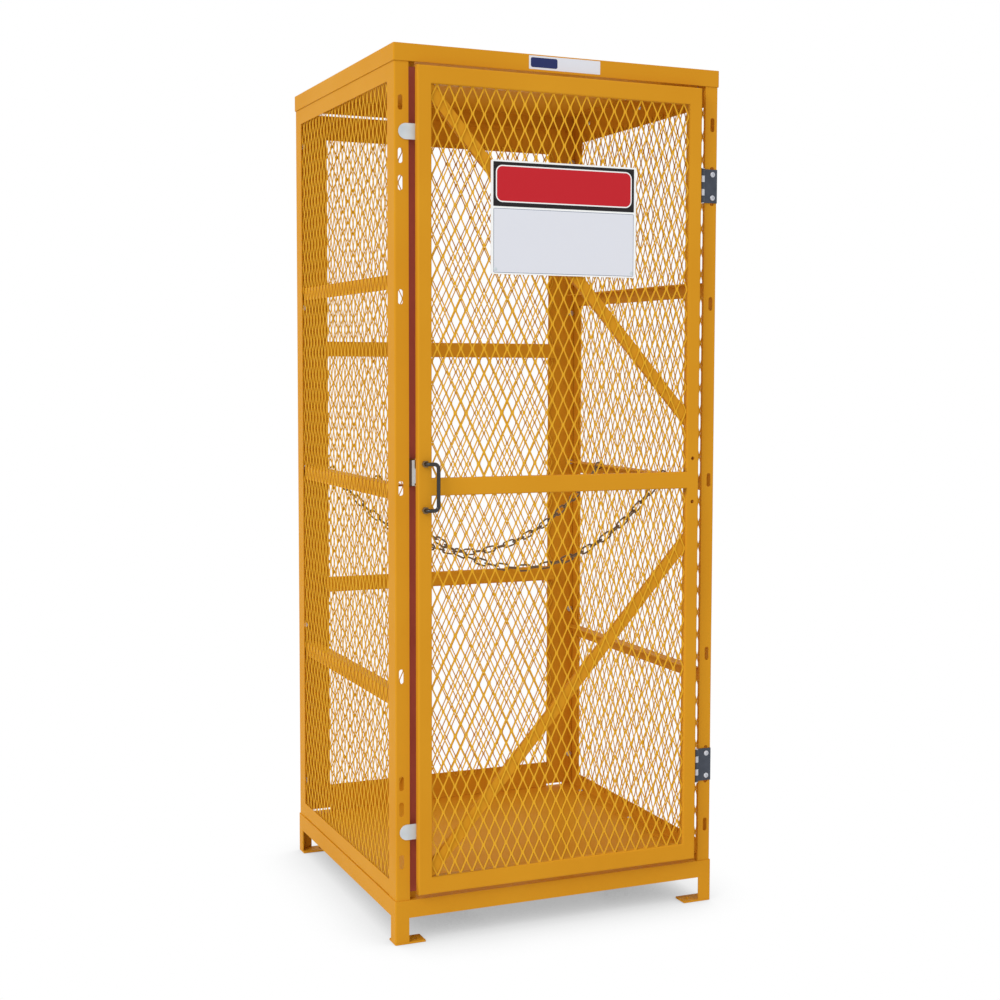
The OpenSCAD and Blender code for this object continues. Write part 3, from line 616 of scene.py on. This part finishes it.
@dataclass
class RoundHeads:
    """Turned screws and rivets, each with a domed head in the place of its plain solid.

    The width of a socket is a share of the head's radius.  Its depth and the
    height of the dome are shares of the head's height.
    """

    shop: Workshop
    steps: int = 20
    dome_steps: int = 5
    screw_head: float = 3.0 * MM
    rivet_head: float = 1.0 * MM
    socket: float = 0.42
    socket_depth: float = 0.6
    dome_height: float = 0.9
    flat_top: float = math.radians(20)
    crease: float = 50.0

    def build(self) -> None:
        """Makes the screws of the rims and hinges, and the rivets of the sign."""
        for node in ("rim_screws", "hinge_screws"):
            self.piece(f"turned_{node}", node, self.shop.islands(node), self.screw_head,
                       BRIGHT_ZINC)
        rivets = self.shop.islands("sign_rivets")
        middle = sum(low.z for low, _ in rivets) / len(rivets)
        upper = [box for box in rivets if box[0].z > middle]
        lower = [box for box in rivets if box[0].z < middle]
        for name, boxes, finish in (("upper_sign_rivets", upper, FILM_BLACK),
                                    ("lower_sign_rivets", lower, PALE_ZINC)):
            self.piece(name, "sign_rivets", boxes, self.rivet_head, finish, hollow=False)

    def piece(self, name: str, node: str, boxes: list[tuple[Vector, Vector]], head: float,
              finish: Finish, hollow: bool = True) -> None:
        """Makes one piece of all the heads in a list of boxes.

        Args:
            name: The piece's name.
            node: The node that it stands for.
            boxes: The box of each screw or rivet.
            head: The height of a head.
            finish: The finish.
            hollow: Whether each head has a socket.
        """
        bm = bmesh.new()
        for low, high in boxes:
            axis, sign = self.facing(low, high)
            size = high - low
            radius = max(size[k] for k in range(3) if k != axis) / 2
            away = Vector()
            away[axis] = sign
            top = (low + high) / 2 + away * size[axis] / 2
            upright = Vector((0, 0, 1)).rotation_difference(away).to_matrix().to_4x4()
            self.turn(bm, self.profile(radius, head, size[axis], hollow),
                      Matrix.Translation(top) @ upright)
        bmesh.ops.recalc_face_normals(bm, faces=bm.faces)
        self.shop.mount(name, bm, finish, self.shop.slot_of[node], self.shop.body_of[node],
                        (node,), smooth=self.crease)

    def facing(self, low: Vector, high: Vector) -> tuple[int, float]:
        """Finds the way that a head looks from the box of its screw.

        Args:
            low: The lowest corner.
            high: The highest corner.

        Returns:
            The axis, and 1 or -1 for the way along it.
        """
        size, middle = high - low, (low + high) / 2
        odd = [abs(size[(k + 1) % 3] - size[(k + 2) % 3]) for k in range(3)]
        axis = odd.index(min(odd))
        signs = (-math.copysign(1.0, middle.x), -1.0, 1.0)
        return axis, signs[axis]

    def profile(self, radius: float, head: float, length: float, hollow: bool) -> list[Vector]:
        """Draws half of a screw from the middle of its top to the middle of its tip.

        Args:
            radius: The radius of the head.
            head: The height of the head.
            length: The whole length.
            hollow: Whether the head has a socket.

        Returns:
            The corners of the outline, with the top at 0 and the tip below it.
        """
        if hollow:
            floor = -head * self.socket_depth
            points = [Vector((0, 0, floor)), Vector((radius * self.socket, 0, floor))]
            start = math.asin(self.socket)
        else:
            points, start = [Vector()], self.flat_top
        for k in range(self.dome_steps + 1):
            turn = start + (math.radians(90) - start) * k / self.dome_steps
            drop = head * (1 - math.cos(turn)) * self.dome_height
            points.append(Vector((radius * math.sin(turn), 0, -drop)))
        shank = radius / 2
        points += [Vector((radius, 0, -head)), Vector((shank, 0, -head)),
                   Vector((shank, 0, -length)), Vector((0, 0, -length))]
        return points

    def turn(self, bm: bmesh.types.BMesh, outline: list[Vector], place: Matrix) -> None:
        """Spins an outline round its axis and puts it in place.

        Args:
            bm: The mesh to add to.
            outline: Half of the shape, from axis to axis.
            place: Where it goes.
        """
        before = set(bm.verts)
        verts = [bm.verts.new(point) for point in outline]
        edges = [bm.edges.new(pair) for pair in zip(verts, verts[1:])]
        bmesh.ops.spin(bm, geom=verts + edges, cent=(0, 0, 0), axis=(0, 0, 1), dvec=(0, 0, 0),
                       angle=math.tau, steps=self.steps, use_merge=True, use_duplicate=False)
        fresh = [v for v in bm.verts if v not in before]
        bmesh.ops.remove_doubles(bm, verts=fresh, dist=WELD_REACH)
        fresh = [v for v in bm.verts if v not in before]
        bmesh.ops.transform(bm, matrix=place, verts=fresh)


@dataclass(frozen=True)
class Film:
    """A flat field of colour on a face that looks forward, in millimetres."""

    name: str
    finish: Finish
    across: tuple[float, float]
    upright: tuple[float, float]
    corner: float
    layer: int


@dataclass
class PlainSigns:
    """The coloured fields of the sign board and of the roof plate, both without words."""

    shop: Workshop
    film: float = 0.09 * MM
    sign: tuple[Film, ...] = (
        Film("sign_header", FILM_BLACK, (-163.5, 156.5), (1516.0, 1606.0), 1.5, 0),
        Film("sign_bar_rim", BOARD, (-158.0, 151.0), (1524.5, 1599.5), 14.5, 1),
        Film("sign_bar", FILM_RED, (-155.5, 148.5), (1527.0, 1597.0), 12.0, 2),
        Film("sign_panel_border", FILM_LINE, (-163.0, 156.0), (1381.5, 1512.0), 2.0, 0),
        Film("sign_panel", FILM_PALE, (-162.0, 155.0), (1382.5, 1511.0), 1.0, 1),
    )
    roof: tuple[Film, ...] = (
        Film("roof_plate", FILM_PALE, (-78.0, 84.0), (1800.0, 1827.5), 1.5, 0),
        Film("roof_plate_field", FILM_BLUE, (-74.0, -14.0), (1804.0, 1824.0), 4.0, 1),
    )

    def build(self) -> None:
        """Lays the fields of both faces."""
        self.lay(self.sign, "sign_plate")
        self.lay(self.roof, "roof_panel")

    def lay(self, films: tuple[Film, ...], node: str) -> None:
        """Lays a stack of fields on the front of a node.

        Args:
            films: The fields, from the face outwards.
            node: The node that carries them.
        """
        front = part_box(node)[0].y
        for film in films:
            near, far = (front - (film.layer + up) * self.film for up in (0, 1))
            low = Vector((film.across[0] * MM, far, film.upright[0] * MM))
            high = Vector((film.across[1] * MM, near, film.upright[1] * MM))
            bm = self.shop.plate(low, high, film.corner * MM)
            self.shop.mount(film.name, bm, film.finish, Slot.BOARD, self.shop.body_of[node])


@dataclass
class GapShadeStrip:
    """The rubber strip on the stop flange of the latch post, which the door closes on. Its red
    brown colour is painted shade that darkens the gap between the post and the door.
    """

    shop: Workshop
    width: float = 25.0 * MM
    past_edge: float = 8.0 * MM
    thickness: float = 2.4 * MM
    lip: float = 3.0 * MM
    clear: float = 2.0 * MM
    edge_radius: float = 0.8 * MM
    edge_steps: int = 3
    sharpest: float = math.radians(60)
    facing_back: float = 0.9

    def build(self) -> None:
        """Builds the strip in two lengths, above and below the catch."""
        catch_low, catch_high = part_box("catch_case")
        door_low, door_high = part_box("door_stile_latch")
        edge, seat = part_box("left_front_post")[1].x, catch_high.y
        lengths = {"lower": (door_low.z, catch_low.z - self.clear),
                   "upper": (catch_high.z + self.clear, door_high.z)}
        for name, (bottom, top) in lengths.items():
            low = Vector((edge + self.past_edge - self.width, seat - self.thickness, bottom))
            bm = self.shop.plate(low, Vector((edge + self.past_edge, seat, top)))
            cut_across(bm, 0, edge)
            behind = [f for f in bm.faces if f.normal.y > self.facing_back
                      and f.calc_center_median().x > edge]
            draw_out(bm, behind, self.lip)
            bmesh.ops.delete(bm, geom=behind, context="FACES_ONLY")
            bmesh.ops.recalc_face_normals(bm, faces=bm.faces)
            long_edges = [e for e in bm.edges if e.calc_length() > (top - bottom) / 2
                          and e.calc_face_angle(0.0) > self.sharpest]
            bmesh.ops.bevel(bm, geom=long_edges, offset=self.edge_radius,
                            segments=self.edge_steps, profile=0.5, affect="EDGES", material=-1)
            # The strip's red brown finish is painted shade for the gap between the post and the
            # door.
            self.shop.mount(f"{name}_gap_shade_strip", bm, PAINTED_GAP_SHADE, Slot.DARK,
                            self.shop.body_of["left_front_post"])


@dataclass
class RearGapStrip:
    """The coated strip that closes part of the gap between the back panel and the roof."""

    shop: Workshop
    start: float = -100.0 * MM
    lap: float = 1.5 * MM
    clear: float = 1.0 * MM
    corner: float = 0.6 * MM

    def build(self) -> None:
        """Builds the strip on the top edge of the back panel."""
        rail_low, rail_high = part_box("back_top_rail")
        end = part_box("right_rear_post")[0].x - self.clear
        roof_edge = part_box("roof_panel")[0].z
        bm = self.shop.plate(Vector((self.start, rail_low.y, rail_high.z)),
                             Vector((end, rail_high.y, roof_edge + self.lap)), self.corner)
        self.shop.mount("rear_gap_strip", bm, COAT, Slot.COAT, self.shop.body_of["back_top_rail"])


@dataclass
class CatchPole:
    """The pale pole plate on the face of the door catch."""

    shop: Workshop
    width: float = 6.0 * MM
    inset: float = 5.0 * MM
    proud: float = 0.3 * MM
    corner: float = 0.8 * MM

    def build(self) -> None:
        """Builds the plate on the front of the catch case."""
        low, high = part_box("catch_case")
        left = low.x + self.inset
        bm = self.shop.plate(Vector((left, low.y - self.proud, low.z)),
                             Vector((left + self.width, low.y, high.z)), self.corner)
        self.shop.mount("catch_pole_plate", bm, PALE_ZINC, Slot.BRIGHT,
                        self.shop.body_of["catch_case"])


@dataclass
class ExpandedMesh:
    """One sheet of raised expanded metal, fitted to the box of a mesh node.

    Slanted strands run up the sheet side by side as zigzag ribbons, which join
    their neighbours at short bonds.
    """

    shop: Workshop
    node: str
    tilt: float
    strand: float
    short_pitch: float = 12.7 * MM
    long_pitch: float = 50.8 * MM
    gauge: float = 1.1 * MM
    bond: float = 5.5 * MM
    crease: float = 20.0

    def build(self) -> None:
        """Builds the sheet and mounts it in place of its node."""
        low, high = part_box(self.node)
        size = high - low
        across = 0 if size.x > size.y else 1
        ribbons = 2 * round(size[across] / self.short_pitch / 2)
        pitch = size[across] / ribbons
        bm = bmesh.new()
        for phase in (0, 1):
            self.ribbon(bm, phase, pitch, size.z)
        bmesh.ops.recalc_face_normals(bm, faces=bm.faces)
        source = list(bm.verts) + list(bm.edges) + list(bm.faces)
        for k in range(1, ribbons // 2):
            copy = bmesh.ops.duplicate(bm, geom=source)["geom"]
            verts = [v for v in copy if isinstance(v, bmesh.types.BMVert)]
            bmesh.ops.translate(bm, verts=verts, vec=(2 * k * pitch, 0, 0))
        bmesh.ops.translate(bm, verts=bm.verts, vec=(-size[across] / 2, 0, -size.z / 2))
        if across == 1:
            bmesh.ops.rotate(bm, verts=bm.verts,
                             matrix=Matrix.Rotation(math.radians(90), 3, "Z"))
        bmesh.ops.translate(bm, verts=bm.verts, vec=(low + high) / 2)
        self.shop.mount(f"expanded_{self.node}", bm, MESH_COAT, Slot.MESH,
                        self.shop.body_of[self.node], (self.node,), smooth=self.crease)

    def stations(self, phase: int, pitch: float, height: float) -> list[Vector]:
        """Works out where the middle of a strand turns on its way up the sheet.

        Args:
            phase: 0 or 1, for the side to which the ribbon leans first.
            pitch: The distance between ribbons.
            height: The height of the sheet.

        Returns:
            The turning points from the bottom to the top.
        """
        swing = (pitch - self.strand * math.cos(self.tilt)) / 2
        depth = self.strand / 2 * math.sin(self.tilt)
        periods = round(height / self.long_pitch)
        half = height / periods / 2
        side = 1 - 2 * phase
        middle = (phase + 0.5) * pitch
        points = [(side, 0.0)]
        for k in range(2 * periods):
            lean = side if k % 2 == 0 else -side
            points.append((lean, k * half + self.bond / 2))
            points.append((-lean, (k + 1) * half - self.bond / 2))
        points.append((side, height))
        return [Vector((middle + lean * swing, lean * depth, level)) for lean, level in points]

    def ribbon(self, bm: bmesh.types.BMesh, phase: int, pitch: float, height: float) -> None:
        """Adds one zigzag ribbon that starts at the bottom of the sheet.

        Args:
            bm: The mesh to add to.
            phase: 0 or 1, for the side to which it leans first.
            pitch: The distance between ribbons.
            height: The height of the sheet.
        """
        points = self.stations(phase, pitch, height)
        turn = Matrix.Rotation(-self.tilt, 3, "Z")
        corners = [(-1, -1), (1, -1), (1, 1), (-1, 1)]
        width, depth = self.strand / 2, self.gauge / 2
        ring = [bm.verts.new(points[0] + turn @ Vector((u * width, v * depth, 0)))
                for u, v in corners]
        bm.faces.new(ring[::-1])
        for last, point in zip(points, points[1:]):
            edges = [bm.edges.get((ring[k], ring[k - 1])) for k in range(4)]
            grown = bmesh.ops.extrude_edge_only(bm, edges=edges)["geom"]
            fresh = {v for v in grown if isinstance(v, bmesh.types.BMVert)}
            ring = [next(e.other_vert(v) for e in v.link_edges if e.other_vert(v) in fresh)
                    for v in ring]
            bmesh.ops.translate(bm, verts=ring, vec=point - last)
        bm.faces.new(ring)


@dataclass
class Studio:
    """Camera, lamps, surroundings and floor of the photograph."""

    position: tuple[float, float, float] = (-1.422, -3.508, 1.190)
    azimuth: float = math.radians(24.32)
    pitch: float = math.radians(4.09)
    roll: float = math.radians(-0.27)
    focal_px: float = 1638.0
    centre_px: tuple[float, float] = (560.0, 484.0)
    frame_px: float = 1000.0
    sensor: float = 36.0
    far_clip: float = 50.0
    key_way: tuple[float, float, float] = (-0.75, -0.42, 0.55)
    key_strength: float = 1.15
    key_width: float = math.radians(35)
    sky_strength: float = 0.83
    shade_reach: float = 0.24
    shade_power: float = 0.43
    shade_samples: int = 16
    open_floor: float = 0.87
    floor_radius: float = 9.0
    floor_steps: int = 96
    floor_tone: float = 0.8

    def build(self) -> None:
        """Sets up everything round the object."""
        self.camera()
        self.lamps()
        self.surroundings()
        self.floor()
        bpy.context.scene.view_settings.view_transform = "Standard"

    def camera(self) -> None:
        """Places the camera where the photograph was taken from."""
        data = bpy.data.cameras.new("camera")
        data.sensor_width = self.sensor
        data.lens = self.focal_px / self.frame_px * self.sensor
        data.shift_x = 0.5 - self.centre_px[0] / self.frame_px
        data.shift_y = self.centre_px[1] / self.frame_px - 0.5
        data.clip_end = self.far_clip
        forward = Vector((math.sin(self.azimuth) * math.cos(self.pitch),
                          math.cos(self.azimuth) * math.cos(self.pitch), -math.sin(self.pitch)))
        level = Vector((math.cos(self.azimuth), -math.sin(self.azimuth), 0))
        down = forward.cross(level)
        right = level * math.cos(self.roll) + down * math.sin(self.roll)
        down = down * math.cos(self.roll) - level * math.sin(self.roll)
        turn = Matrix((right, -down, -forward)).transposed().to_4x4()
        camera = bpy.data.objects.new("camera", data)
        camera.matrix_world = Matrix.Translation(self.position) @ turn
        bpy.context.scene.collection.objects.link(camera)
        bpy.context.scene.camera = camera

    def lamps(self) -> None:
        """Adds the broad key lamp, high on the front left."""
        data = bpy.data.lights.new("key", "SUN")
        data.energy = self.key_strength
        data.angle = self.key_width
        lamp = bpy.data.objects.new("key", data)
        towards = Vector(self.key_way).normalized()
        lamp.matrix_world = towards.to_track_quat("Z", "Y").to_matrix().to_4x4()
        bpy.context.scene.collection.objects.link(lamp)

    def surroundings(self) -> None:
        """Makes the surroundings white to look at and mirror, and softer as a light."""
        world = bpy.data.worlds.new("surroundings")
        world.use_nodes = True
        b = NodeBuilder(world.node_tree)
        sky = b.add("ShaderNodeBackground", Color=WHITE, Strength=self.sky_strength)
        white = b.add("ShaderNodeBackground", Color=WHITE, Strength=1.0)
        mix = b.combine("ShaderNodeMixShader", {}, self.seen(b), sky.outputs[0], white.outputs[0])
        b.add("ShaderNodeOutputWorld", Surface=mix)
        bpy.context.scene.world = world

    def seen(self, b: NodeBuilder) -> bpy.types.NodeSocket:
        """Adds a mask of the rays that look at a surface directly or in a reflection.

        Args:
            b: The builder of the tree.

        Returns:
            The mask.
        """
        path = b.add("ShaderNodeLightPath")
        total = path.outputs["Is Camera Ray"]
        for name in ("Is Glossy Ray", "Is Transmission Ray"):
            total = b.combine("ShaderNodeMath", {"operation": "MAXIMUM"},
                              total, path.outputs[name])
        return total

    def floor(self) -> None:
        """Lays a pale floor with a painted shadow, which darkens it under the object; it is white
        further out.
        """
        bm = bmesh.new()
        bmesh.ops.create_circle(bm, cap_ends=True, segments=self.floor_steps,
                                radius=self.floor_radius)
        mesh = bpy.data.meshes.new("floor")
        bm.to_mesh(mesh)
        bm.free()
        floor = bpy.data.objects.new("floor", mesh)
        bpy.context.scene.collection.objects.link(floor)
        material = bpy.data.materials.new("pale floor")
        material.use_nodes = True
        b = NodeBuilder(material.node_tree)
        # Painted shadow: ambient occlusion sets the strength of the white glow that camera and
        # glossy rays see on the floor.
        near = b.add("ShaderNodeAmbientOcclusion", {"samples": self.shade_samples},
                     Distance=self.shade_reach)
        clear = b.add("ShaderNodeMapRange", Value=near.outputs["AO"], From_Max=self.open_floor)
        shade = b.combine("ShaderNodeMath", {"operation": "POWER"},
                          clear.outputs["Result"], self.shade_power)
        lit = b.add("ShaderNodeBsdfDiffuse", Color=(*(self.floor_tone,) * 3, 1.0))
        painted_floor_shadow = b.add("ShaderNodeEmission", Color=WHITE, Strength=shade)
        mix = b.combine("ShaderNodeMixShader", {}, self.seen(b), lit.outputs[0], painted_floor_shadow.outputs[0])
        b.add("ShaderNodeOutputMaterial", Surface=mix)
        mesh.materials.append(material)


def finish_nodes(shop: Workshop) -> None:
    """Gives every node its finish, through its own material slots.

    Args:
        shop: The workshop that holds the nodes.
    """
    for name, node in shop.nodes.items():
        finish = NODE_FINISH.get(name, SLOT_FINISH[shop.slot_of[name]])
        for k in range(len(node.data.materials)):
            node.data.materials[k] = finish.material()


def main() -> None:
    """Builds every piece in order."""
    logging.basicConfig(level=logging.INFO, format="%(name)s %(message)s")
    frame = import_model()
    shop = Workshop(frame)
    Studio().build()
    finish_nodes(shop)
    RoundedParts(shop).build()
    DoorFrame(shop).build()
    for node in ("left_mesh", "right_mesh"):
        ExpandedMesh(shop, node, tilt=math.radians(-8), strand=2.6 * MM).build()
    for node in ("back_mesh", "door_mesh_lower", "door_mesh_upper"):
        ExpandedMesh(shop, node, tilt=math.radians(18), strand=2.9 * MM).build()
    PlainSigns(shop).build()
    RoundHeads(shop).build()
    GapShadeStrip(shop).build()
    RearGapStrip(shop).build()
    CatchPole(shop).build()


if __name__ == "__main__":
    main()
